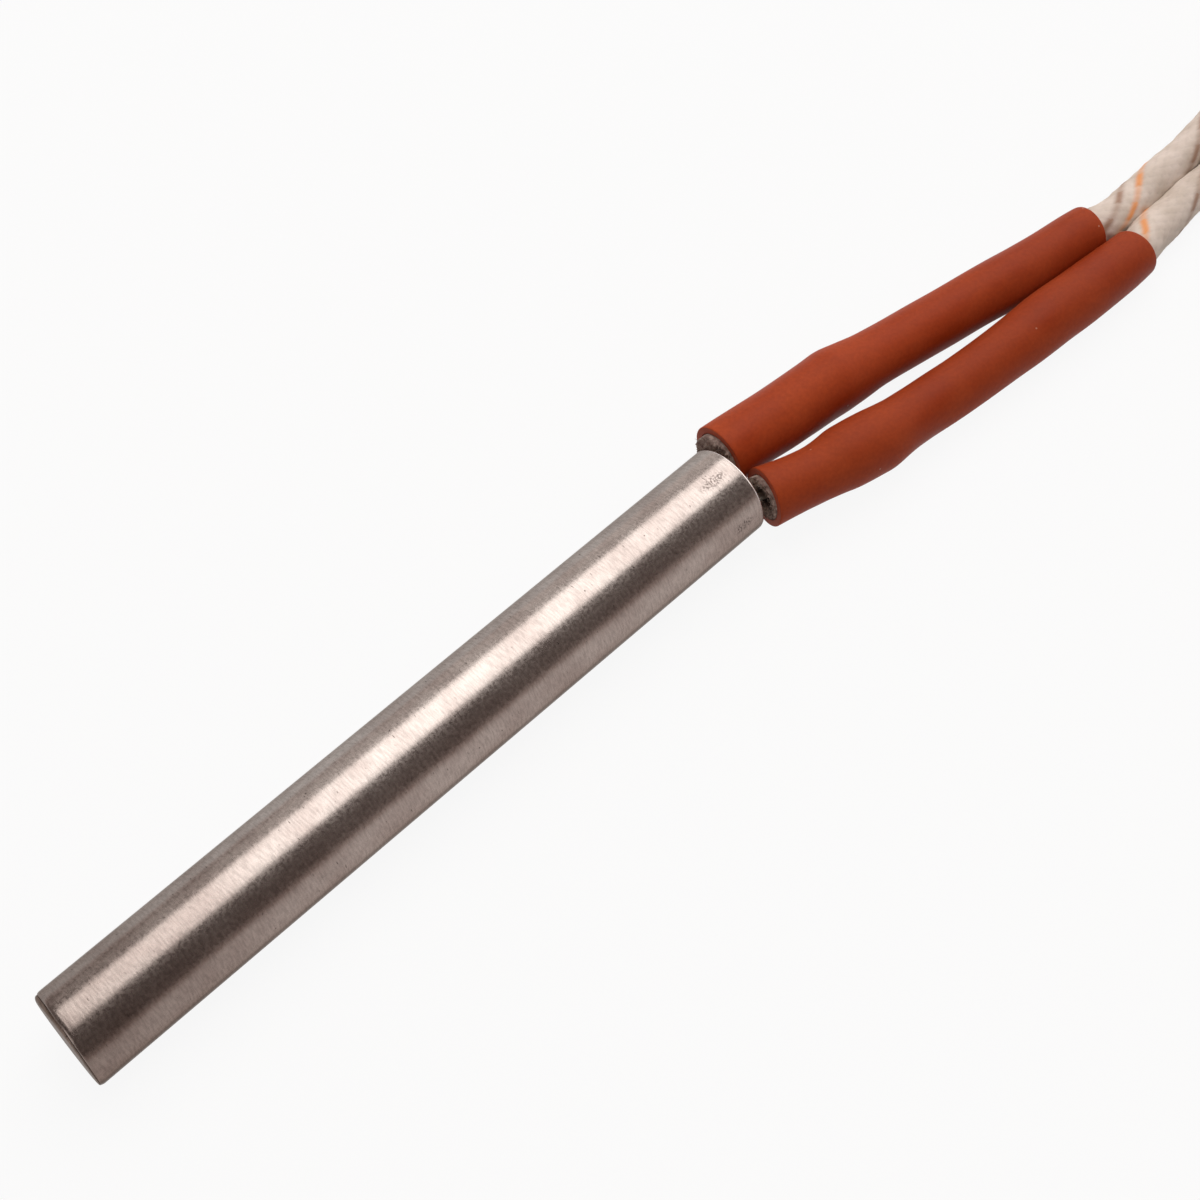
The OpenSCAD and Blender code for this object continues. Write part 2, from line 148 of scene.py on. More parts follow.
def placed(side, lift, back, at):
    """The matrix of a camera or lamp from its three axes and its place."""
    return Matrix([[side[i], lift[i], back[i], at[i]] for i in range(3)] + [[0, 0, 0, 1]])


def new_material(name):
    """A node material with only its shader and output, joined."""
    material = bpy.data.materials.new(name)
    material.use_nodes = True
    tree = material.node_tree
    tree.nodes.clear()
    shader = add(tree, "ShaderNodeBsdfPrincipled", out=None)
    add(tree, "ShaderNodeOutputMaterial", None, {"Surface": shader.outputs[0]}, None)
    return material, tree, shader


def spline(points, steps):
    """A Catmull-Rom curve through the points: a cubic in t between neighbours, as whole arrays."""
    p = np.asarray(points, float)
    q = np.vstack([p[:1], p, p[-1:]])
    a, b, c, d = (q[i:len(q) - 3 + i, None, :] for i in range(4))
    t = (np.arange(steps) / steps)[None, :, None]
    curve = 0.5 * (2 * b + (c - a) * t + (2 * a - 5 * b + 4 * c - d) * t ** 2 + (3 * b - a - 3 * c + d) * t ** 3)
    return np.vstack([curve.reshape(-1, 3), p[-1:]])


def at_x(path, x):
    """The points of a path at the distances x along the object, by straight interpolation."""
    x = np.asarray(x, float)
    return np.stack([x, np.interp(x, path[:, 0], path[:, 1]), np.interp(x, path[:, 0], path[:, 2])], -1)


def arc_length(path):
    """The running length along a path."""
    return np.concatenate([[0.0], np.cumsum(np.linalg.norm(np.diff(path, axis=0), axis=1))])


def even(path, step):
    """The same path with points an equal step apart."""
    s = arc_length(path)
    n = max(2, int(round(s[-1] / step)) + 1)
    at = np.linspace(0, s[-1], n)
    return np.stack([np.interp(at, s, path[:, k]) for k in range(3)], -1)


def smooth_rows(rows, x):
    """A soft curve through rows of (distance, value): straight pieces averaged over 0.7 mm each way."""
    rows = np.asarray(rows, float)
    offsets = np.linspace(-0.7, 0.7, 9)
    return np.mean([np.interp(x + o, rows[:, 0], rows[:, 1]) for o in offsets], axis=0)


def frames(path):
    """The heading, side and lift directions along a path: side = up x heading, lift = heading x side."""
    t = np.gradient(path, axis=0)
    t /= np.linalg.norm(t, axis=1, keepdims=True)
    side = np.cross([0.0, 0.0, 1.0], t)
    side /= np.linalg.norm(side, axis=1, keepdims=True)
    return t, side, np.cross(t, side)


def sweep(path, radius, around):
    """A round section carried along a path: P + r (cos a side + sin a lift), radius by ring or by point."""
    side, lift = frames(path)[1:]
    angle = np.arange(around) * 2 * np.pi / around
    radius = np.broadcast_to(radius if np.ndim(radius) == 2 else np.asarray(radius)[:, None], (len(path), around))
    ring = np.cos(angle)[None, :, None] * side[:, None, :] + np.sin(angle)[None, :, None] * lift[:, None, :]
    return path[:, None, :] + radius[:, :, None] * ring


def grid_faces(rows, around, first=0):
    """Quads of a grid of rings, wound so that a tube swept or turned forwards faces outwards."""
    i = np.arange(rows - 1)[:, None] * around + first
    k = np.arange(around)[None, :]
    j = (k + 1) % around
    return np.stack([i + k, i + j, i + around + j, i + around + k], -1).reshape(-1, 4)


def closing_faces(rows, around):
    """Quads that join the last ring of a grid to its first."""
    ring = np.arange(around)
    last = ring + (rows - 1) * around
    return np.stack([last, np.roll(last, -1), np.roll(ring, -1), ring], -1)


def end_caps(rows, around, first=0):
    """The two faces that close the first and the last ring of a tube."""
    ring = np.arange(around)[None, :] + first
    return [ring[:, ::-1], ring + (rows - 1) * around]


def make_piece(name, points, faces, material, replaced=(), attributes=None, uv=None, shade=True):
    """A mesh object in metres at the origin from arrays in millimetres, riding on the body."""
    mesh = bpy.data.meshes.new(name)
    points = np.ascontiguousarray(points.reshape(-1, 3) * MM, dtype=np.float32)
    mesh.vertices.add(len(points))
    mesh.vertices.foreach_set("co", points.ravel())
    faces = [np.asarray(f, np.int32).reshape(-1, np.shape(f)[-1]) for f in faces]
    sizes = np.concatenate([np.full(len(f), f.shape[1], np.int32) for f in faces])
    loops = np.concatenate([f.ravel() for f in faces])
    mesh.loops.add(len(loops))
    mesh.loops.foreach_set("vertex_index", loops)
    mesh.polygons.add(len(sizes))
    mesh.polygons.foreach_set("loop_start", np.concatenate([[0], np.cumsum(sizes)[:-1]]).astype(np.int32))
    if uv is not None:
        layer = mesh.uv_layers.new(name="surface")
        layer.data.foreach_set("uv", np.ascontiguousarray(uv, np.float32).ravel())
    for key, values in (attributes or {}).items():
        layer = mesh.attributes.new(key, "FLOAT_COLOR", "POINT")
        rgba = np.ones((len(points), 4), np.float32)
        rgba[:, :3] = np.asarray(values, np.float32).reshape(-1, 3)
        layer.data.foreach_set("color", rgba.ravel())
    mesh.update(calc_edges=True)
    mesh.validate()
    mesh.polygons.foreach_set("use_smooth", np.full(len(mesh.polygons), shade))
    mesh.materials.append(material)
    piece = bpy.data.objects.new(name, mesh)
    bpy.context.scene.collection.objects.link(piece)
    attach(piece, "root")
    if replaced:
        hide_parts(*replaced)
    return piece


def ground_steel(name, colour, tint, roughness, scuffs=(), heated="#ffffff", lip=200.0, underside=1.0,
                 painted_flank_tint="#ffffff"):
    """Centreless-ground stainless steel: short fine marks round the rod soften its reflections into bands with
    blurred edges, over a faint grain, pits and small scuffs. The marks are drawn about 0.2 mm apart so they show.
    The tip has a faint heat tint. The turned lip beyond the distance named lip is smoother, and its colour is
    lifted to near white as a painted highlight. The lower side gets a warm, darker tint as a painted reflection,
    and the bottom beyond it is darkened as painted shade."""
    material, tree, shader = new_material(name)
    uv = add(tree, "ShaderNodeUVMap", {"uv_map": "surface"})
    along, arc = (add(tree, "ShaderNodeSeparateXYZ", None, {0: uv}, axis) for axis in (0, 1))
    field = {}
    # Marks per millimetre along and round the rod, and their detail
    for key, u, v, detail in (("streak", 5.4, 0.9, 3.0), ("grain", 3.1, 3.1, 3.0), ("cloud", 0.22, 0.3, 3.0),
                              ("dash", 5.5, 1.0, 1.0), ("spot", 5.6, 3.6, 2.0)):
        spread = add(tree, "ShaderNodeMapping", None, {"Vector": uv, "Scale": (u, v, 1.0)})
        field[key] = add(tree, NOISE, None, {"Vector": spread, "Scale": 1.0, "Detail": detail})
    dash = add(tree, RANGE, SOFT, {"Value": field["dash"], 1: 0.73, 2: 0.78, 3: 0.0, 4: 1.0})
    spread = add(tree, "ShaderNodeMapping", None, {"Vector": uv, "Scale": (0.75, 0.55, 1.0)})
    cells = add(tree, "ShaderNodeTexVoronoi", None, {"Vector": spread, "Scale": 1.0}, None)
    chosen = add(tree, "ShaderNodeSeparateColor", None, {"Color": cells.outputs["Color"]})
    near = add(tree, RANGE, SOFT, {"Value": cells.outputs["Distance"], 1: 0.03, 2: 0.07, 3: 1.0, 4: 0.0})
    rare = add(tree, RANGE, SOFT, {"Value": chosen, 1: 0.6, 2: 0.65, 3: 0.0, 4: 1.0})
    mark = add(tree, MATH, LARGER, {0: add(tree, MATH, TIMES, {0: near, 1: rare}), 1: dash})
    spot = add(tree, RANGE, SOFT, {"Value": field["spot"], 1: 0.48, 2: 0.55, 3: 0.0, 4: 0.9})
    for at, size in scuffs:
        local = add(tree, "ShaderNodeMapping", {"vector_type": "TEXTURE"},
                    {"Vector": uv, "Location": (*at, 0.0), "Scale": (*size, 1.0)})
        reach = add(tree, "ShaderNodeVectorMath", {"operation": "LENGTH"}, {0: local}, "Value")
        reach = add(tree, RANGE, SOFT, {"Value": reach, 1: 0.4, 2: 1.0, 3: 1.0, 4: 0.0})
        mark = add(tree, MATH, LARGER, {0: mark, 1: add(tree, MATH, TIMES, {0: reach, 1: spot})})
    cloud = add(tree, RANGE, SOFT, {"Value": field["cloud"], 1: 0.35, 2: 0.68, 3: 0.0, 4: 1.0})
    lit = add(tree, MIX, BLEND, {0: cloud, 6: linear(colour), 7: linear(tint)}, 2)
    # Tones by range: the marks, the grain, and painted shade that darkens the bottom, faded in at both edges by the
    # arc from below
    for value, low, high, first, last in (
            (field["streak"], 0.3, 0.66, 0.78, 1.0), (field["grain"], 0.34, 0.62, 0.89, 1.0),
            (arc, 22.15, 22.95, 1.0, underside), (arc, 3.0, 7.0, underside, 1.0)):
        tone = add(tree, RANGE, SOFT, {"Value": value, 1: low, 2: high, 3: first, 4: last})
        lit = add(tree, MIX, DARKEN, {0: 1.0, 6: lit, 7: tone}, 2)
    # Tints by range: the heat tint from the tip inwards, and a painted reflection tint that makes the lower side
    # warmer and darker
    for value, low, high, first, last, heat_and_reflection_tint in (
            (along, -4.0, 36.0, 1.0, 0.0, heated), (arc, 16.8, 20.0, 0.0, 1.0, painted_flank_tint)):
        share = add(tree, RANGE, SOFT, {"Value": value, 1: low, 2: high, 3: first, 4: last})
        lit = add(tree, MIX, DARKEN, {0: share, 6: lit, 7: linear(heat_and_reflection_tint)}, 2)
    lit = add(tree, MIX, BLEND, {0: add(tree, MATH, TIMES, {0: mark, 1: 0.75}), 6: lit, 7: linear("#3a302d")}, 2)
    # The turned lip is smoother, and its colour is lifted to near white as a painted highlight
    turned = add(tree, RANGE, SOFT, {"Value": along, 1: lip, 2: lip + 0.06, 3: 0.0, 4: 1.0})
    lit = add(tree, MIX, BLEND, {0: turned, 6: lit, 7: linear("#f0ebe8")}, 2)
    height = add(tree, MATH, {"operation": "MULTIPLY_ADD"}, {0: mark, 1: -1.0, 2: field["streak"]})
    height = add(tree, MATH, {"operation": "MULTIPLY_ADD"}, {0: field["grain"], 1: 0.2, 2: height})
    bump = add(tree, "ShaderNodeBump", None, {"Strength": 0.14, "Distance": 0.00005, "Height": height})
    rough = add(tree, RANGE, SOFT,
                {"Value": field["grain"], 1: 0.3, 2: 0.7, 3: roughness - 0.05, 4: roughness + 0.06})
    rough = add(tree, MATH, TIMES, {0: rough, 1: add(tree, RANGE, None, {"Value": turned, 3: 1.0, 4: 0.6})})
    tree.links.new(lit, shader.inputs["Base Color"])
    tree.links.new(rough, shader.inputs["Roughness"])
    tree.links.new(bump, shader.inputs["Normal"])
    shader.inputs["Metallic"].default_value = 1.0
    shader.inputs["Specular Tint"].default_value = linear("#c6bfbb")
    return material


def silicone_rubber(look):
    """Moulded silicone rubber: a satin, slightly dusty red skin with a fine pebble and pale specks. The attribute
    named finish holds the share of the darker cut face and a painted shade for the skin, darker on one sleeve than
    the other."""
    material, tree, shader = new_material("silicone_rubber_red")
    place = add(tree, "ShaderNodeTexCoord", None, None, "Object")
    cloud = add(tree, NOISE, None, {"Vector": place, "Scale": 160.0, "Detail": 4.0})
    grain = add(tree, NOISE, None, {"Vector": place, "Scale": 2600.0, "Detail": 2.0})
    finish = add(tree, "ShaderNodeAttribute", {"attribute_name": "finish"}, None, "Color")
    cut, tone = (add(tree, "ShaderNodeSeparateColor", None, {"Color": finish}, k) for k in (0, 1))
    soft = add(tree, RAMP, {"stops": [(0.35, 0.0), (0.7, 1.0)]}, {"Fac": cloud})
    red = add(tree, MIX, BLEND, {0: soft, 6: look["rubber"], 7: look["rubber_light"]}, 2)
    speck = add(tree, "ShaderNodeTexVoronoi", None, {"Vector": place, "Scale": 360.0}, None)
    near = add(tree, MATH, {"operation": "LESS_THAN"}, {0: speck.outputs["Distance"], 1: 0.04})
    pick = add(tree, "ShaderNodeSeparateColor", None, {"Color": speck.outputs["Color"]})
    rare = add(tree, MATH, {"operation": "GREATER_THAN"}, {0: pick, 1: 0.45})
    dust = add(tree, MATH, TIMES, {0: near, 1: rare})
    pebble = add(tree, RANGE, None, {"Value": grain, 1: 0.3, 2: 0.7, 3: 0.88, 4: 1.06})
    # The pebble is the skin's own grain; the tone from the attribute is painted shade
    for share in (pebble, tone):
        red = add(tree, MIX, DARKEN, {0: 1.0, 6: red, 7: share}, 2)
    red = add(tree, MIX, BLEND, {0: dust, 6: red, 7: linear("#ad735e")}, 2)
    red = add(tree, MIX, BLEND, {0: cut, 6: red, 7: linear("#94452f")}, 2)
    bump = add(tree, "ShaderNodeBump", None, {"Strength": 0.2, "Distance": 0.00005, "Height": grain})
    rough = add(tree, RANGE, None, {"Value": cloud, 1: 0.3, 2: 0.7, 3: 0.42, 4: 0.62})
    tree.links.new(red, shader.inputs["Base Color"])
    tree.links.new(bump, shader.inputs["Normal"])
    tree.links.new(rough, shader.inputs["Roughness"])
    shader.inputs["IOR"].default_value = 1.41
    shader.inputs["Specular IOR Level"].default_value = 0.17
    return material


def frayed_fibre(name, dark, light):
    """Frayed glass fibre: a dull brownish mat of loose ends with pale flecks. Where the attribute named throat is
    set, down in the bore, the colour is blended to near black as painted shade."""
    material, tree, shader = new_material(name)
    place = add(tree, "ShaderNodeTexCoord", None, None, "Object")
    throat = add(tree, "ShaderNodeAttribute", {"attribute_name": "throat"}, None, "Color")
    fleck = add(tree, NOISE, None, {"Vector": place, "Scale": 1700.0, "Detail": 4.0})
    middle = tuple(0.6 * a + 0.4 * b for a, b in zip(dark, light))
    mat = add(tree, RAMP, {"stops": [(0.34, dark), (0.54, middle), (0.74, light)]}, {"Fac": fleck})
    # Painted shade: near black down the throat and in the bore
    mat = add(tree, MIX, BLEND, {0: throat, 6: mat, 7: linear("#160f0d")}, 2)
    bump = add(tree, "ShaderNodeBump", None, {"Strength": 0.6, "Distance": 0.0002, "Height": fleck})
    tree.links.new(mat, shader.inputs["Base Color"])
    tree.links.new(bump, shader.inputs["Normal"])
    shader.inputs["Roughness"].default_value = 0.95
    shader.inputs["Specular IOR Level"].default_value = 0.1
    return material


def glass_braid(look):
    """Varnished glass braid: off-white yarns that cross over and under, with coloured tracer yarns. The attribute
    named yarn holds the orange share, the brown share and the height of the yarn, which darkens the dips as painted
    shade."""
    material, tree, shader = new_material("glass_braid_varnished")
    yarn = add(tree, "ShaderNodeAttribute", {"attribute_name": "yarn"}, None, "Color")
    orange, brown, height = (add(tree, "ShaderNodeSeparateColor", None, {"Color": yarn}, k) for k in range(3))
    place = add(tree, "ShaderNodeTexCoord", None, None, "Object")
    soil = add(tree, NOISE, None, {"Vector": place, "Scale": 420.0, "Detail": 4.0})
    soil = add(tree, RAMP, {"stops": [(0.35, 0.0), (0.7, 1.0)]}, {"Fac": soil})
    white = add(tree, MIX, BLEND, {0: soil, 6: look["braid"], 7: look["braid_dull"]}, 2)
    white = add(tree, MIX, BLEND, {0: orange, 6: white, 7: look["tracer_orange"]}, 2)
    white = add(tree, MIX, BLEND, {0: brown, 6: white, 7: look["tracer_brown"]}, 2)
    # Painted shade: the low parts of the yarns, in the dips between them, are darkened to 0.86
    painted_recess_shade = add(tree, RANGE, None, {"Value": height, 1: 0.0, 2: 0.6, 3: 0.86, 4: 1.0})
    white = add(tree, MIX, DARKEN, {0: 1.0, 6: white, 7: painted_recess_shade}, 2)
    thread = add(tree, NOISE, None, {"Vector": place, "Scale": 5200.0, "Detail": 2.0})
    bump = add(tree, "ShaderNodeBump", None, {"Strength": 0.25, "Distance": 0.00004, "Height": thread})
    tree.links.new(white, shader.inputs["Base Color"])
    tree.links.new(bump, shader.inputs["Normal"])
    shader.inputs["Roughness"].default_value = 0.62
    shader.inputs["Specular IOR Level"].default_value = 0.35
    return material


def dull_solid(name, colour, shade, roughness, metallic, grain):
    """A fired, drawn or moulded small part: one colour broken by a fine mottle at the given grain."""
    material, tree, shader = new_material(name)
    place = add(tree, "ShaderNodeTexCoord", None, None, "Object")
    mottle = add(tree, NOISE, None, {"Vector": place, "Scale": grain, "Detail": 4.0})
    tone = add(tree, RAMP, {"stops": [(0.35, linear(colour)), (0.7, linear(shade))]}, {"Fac": mottle})
    bump = add(tree, "ShaderNodeBump", None, {"Strength": 0.15, "Distance": 0.00004, "Height": mottle})
    tree.links.new(tone, shader.inputs["Base Color"])
    tree.links.new(bump, shader.inputs["Normal"])
    shader.inputs["Roughness"].default_value = roughness
    shader.inputs["Metallic"].default_value = metallic
    return material


def colour_prop(label, note, text):
    """A colour setting whose default is an sRGB hex value."""
    return bpy.props.FloatVectorProperty(name=label, description=note, subtype="COLOR", size=4, min=0.0, max=1.0,
                                         default=linear(text))


class HeaterLook(bpy.types.PropertyGroup):
    """Colours and sizes that a user would change."""
    sheath_diameter: bpy.props.FloatProperty(
        name="Sheath diameter", description="Outside diameter of the sheath", unit="LENGTH",
        default=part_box("sheath_tube")[1][2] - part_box("sheath_tube")[0][2])
    lead_diameter: bpy.props.FloatProperty(
        name="Lead diameter", description="Outside diameter of a braided lead", unit="LENGTH", default=3.8 * MM)
    yarns: bpy.props.IntProperty(
        name="Yarns", description="Yarns of the braid in each direction", default=12, min=6, max=20)
    braid_pitch: bpy.props.FloatProperty(
        name="Braid pitch", description="Length of one turn of a yarn", unit="LENGTH", default=24.0 * MM)
    fibres: bpy.props.IntProperty(
        name="Loose fibres", description="Loose fibre ends at each cut sleeve", default=300, min=0, max=2000)
    rubber: colour_prop("Rubber", "Main colour of the sleeves", "#983816")
    rubber_light: colour_prop("Dusty rubber", "Lighter patches of the sleeves", "#a4431f")
    braid: colour_prop("Braid", "Colour of the clean braid", "#d8ccc2")
    braid_dull: colour_prop("Dull braid", "Colour of the soiled braid", "#c3b6a9")
    tracer_orange: colour_prop("Orange tracer", "Colour of the orange tracer yarn", "#df9558")
    tracer_brown: colour_prop("Brown tracer", "Colour of the brown tracer yarn", "#9a7a67")


class HEATER_OT_stage(bpy.types.Operator):
    """Makes the camera, the floor, the soft lights and the world"""
    bl_idname = "heater.stage"
    bl_label = "Camera and stage"

    def execute(self, context):
        scene = context.scene
        scene.view_settings.view_transform = "Standard"
        camera = bpy.data.cameras.new("camera")
        camera.lens, camera.sensor_width = 63.0, 36.0
        camera.clip_start, camera.clip_end = 0.005, 60.0
        shot = bpy.data.objects.new("camera", camera)
        # The view fitted to the photograph
        right, up, back = (0.7176, -0.6965, 0.0), (0.5984, 0.6165, 0.5117), (-0.3564, -0.3672, 0.8592)
        shot.matrix_world = placed(right, up, back, (-0.08859, -0.07311, 0.17053))
        scene.collection.objects.link(shot)
        scene.camera = shot

        half, ground = 20.0, -0.5 * scene.heater.sheath_diameter
        mesh = bpy.data.meshes.new("floor")
        corners = ((-half, -half), (half, -half), (half, half), (-half, half))
        mesh.from_pydata([(x, y, ground) for x, y in corners], [], [(0, 1, 2, 3)])
        floor = bpy.data.objects.new("floor", mesh)
        scene.collection.objects.link(floor)
        # Matt white paper: a pale ground that keeps the soft shadow
        material = bpy.data.materials.new("pale_floor")
        material.use_nodes = True
        tree = material.node_tree
        tree.nodes.clear()
        paper = add(tree, "ShaderNodeBsdfDiffuse", None, {"Color": linear("#d2d2d2")})
        white = add(tree, "ShaderNodeEmission", None, {"Color": (1.0, 1.0, 1.0, 1.0), "Strength": 1.0})
        rays = add(tree, "ShaderNodeLightPath", out=None).outputs
        seen = add(tree, MATH, LARGER, {0: rays["Is Camera Ray"], 1: rays["Is Glossy Ray"]})
        seen = add(tree, MATH, LARGER, {0: seen, 1: rays["Is Transmission Ray"]})
        share = add(tree, MATH, TIMES, {0: seen, 1: 0.91})
        both = add(tree, "ShaderNodeMixShader", None, {0: share, 1: paper, 2: white})
        add(tree, "ShaderNodeOutputMaterial", None, {"Surface": both}, None)
        mesh.materials.append(material)

        # A room that is white at the horizon, grey low down, dim above and lighter behind the object
        world = bpy.data.worlds.new("soft_room")
        world.use_nodes = True
        scene.world = world
        tree = world.node_tree
        tree.nodes.clear()
        around = add(tree, "ShaderNodeTexCoord", None, None, "Generated")
        depth, rise = (add(tree, "ShaderNodeSeparateXYZ", None, {0: around}, axis) for axis in (1, 2))
        low = add(tree, RANGE, SOFT, {"Value": rise, 1: 0.2, 2: 0.27, 3: 0.325, 4: 0.0})
        far = add(tree, RANGE, SOFT, {"Value": depth, 1: 0.35, 2: 1.0, 3: 0.19, 4: 0.31})
        glow = add(tree, RANGE, SOFT, {"Value": rise, 1: 0.03, 2: 0.13, 3: 1.0, 4: 0.0})
        level = add(tree, MATH, {"operation": "ADD"}, {0: low, 1: far})
        level = add(tree, MATH, {"operation": "MULTIPLY_ADD"}, {0: glow, 1: 0.42, 2: level})
        shade = add(tree, MIX, BLEND, {0: glow, 6: linear("#ffe9e1"), 7: (1.0, 1.0, 1.0, 1.0)}, 2)
        sky = add(tree, "ShaderNodeBackground", None, {"Color": shade, "Strength": level})
        add(tree, "ShaderNodeOutputWorld", None, {"Surface": sky}, None)

        aim = np.array([-0.02, 0.0, 0.0])
        # Each lamp's direction from the aim, distance, size in metres, watts and colour
        for name, toward, distance, size, watts, tone in (
                ("key_softbox", (0.30, 0.275, 0.915), 0.75, (0.65, 0.745), 4.4, "#fffaf7"),
                ("side_fill", (-0.80, -0.10, 0.55), 0.9, (0.5, 0.5), 1.0, "#fffaf6"),
                ("low_back_soft", (0.30, 0.85, 0.42), 0.9, (0.6, 0.4), 0.42, "#fffaf6"),
                ("end_strip", (0.88, 0.08, 0.42), 0.8, (0.4, 1.0), 2.0, "#fffaf6")):
            lamp = bpy.data.lights.new(name, "AREA")
            lamp.shape, lamp.size, lamp.size_y = "RECTANGLE", size[0], size[1]
            lamp.energy, lamp.color = watts, linear(tone)[:3]
            back = np.array(toward) / np.linalg.norm(toward)
            side = np.cross([0.0, 1.0, 0.0], back)
            side /= np.linalg.norm(side)
            lift = np.cross(back, side)
            at = aim + distance * back
            body = bpy.data.objects.new(name, lamp)
            body.matrix_world = placed(side, lift, back, at)
            scene.collection.objects.link(body)
        return {"FINISHED"}


def lead_path(which):
    """The centreline of a lead: its route, then once round the hank, rising a layer in the first quarter of the
    left fold, and along the upper run to its end."""
    route = spline(ROUTES[which], 24)
    length = LEAD_LEN - ROUTES[which][0][0] - arc_length(spline(ROUTES[which], 6))[-1]
    r = FOLD[which]
    x0, y0 = HANK
    end = length - 2 * RUN_LEN - 2 * math.pi * r
    first = route[route[:, 0] > JACKET_START + 0.05]
    first = np.vstack([at_x(route, [JACKET_START]), first])
    turn = np.linspace(0, np.pi, 60)
    flat = np.full_like(turn, LAYER_Z)
    run = np.linspace(0, RUN_LEN, 40)[1:-1]
    out = np.stack([x0 + run, np.full_like(run, y0 + r), np.full_like(run, LAYER_Z)], -1)
    far = np.stack([x0 + RUN_LEN + r * np.sin(turn), y0 + r * np.cos(turn), flat], -1)
    back = np.stack([x0 + RUN_LEN - run, np.full_like(run, y0 - r), np.full_like(run, LAYER_Z)], -1)
    climb = np.clip(turn / (0.5 * np.pi), 0, 1)
    rise = LAYER_Z + LANE * climb ** 2 * (3 - 2 * climb)
    near = np.stack([x0 - r * np.sin(turn), y0 - r * np.cos(turn), rise], -1)
    top = np.linspace(0, end, 30)[1:]
    last = np.stack([x0 + top, np.full_like(top, y0 + r), np.full_like(top, LAYER_Z + LANE)], -1)
    return np.vstack([first, out, far, back, near, last])


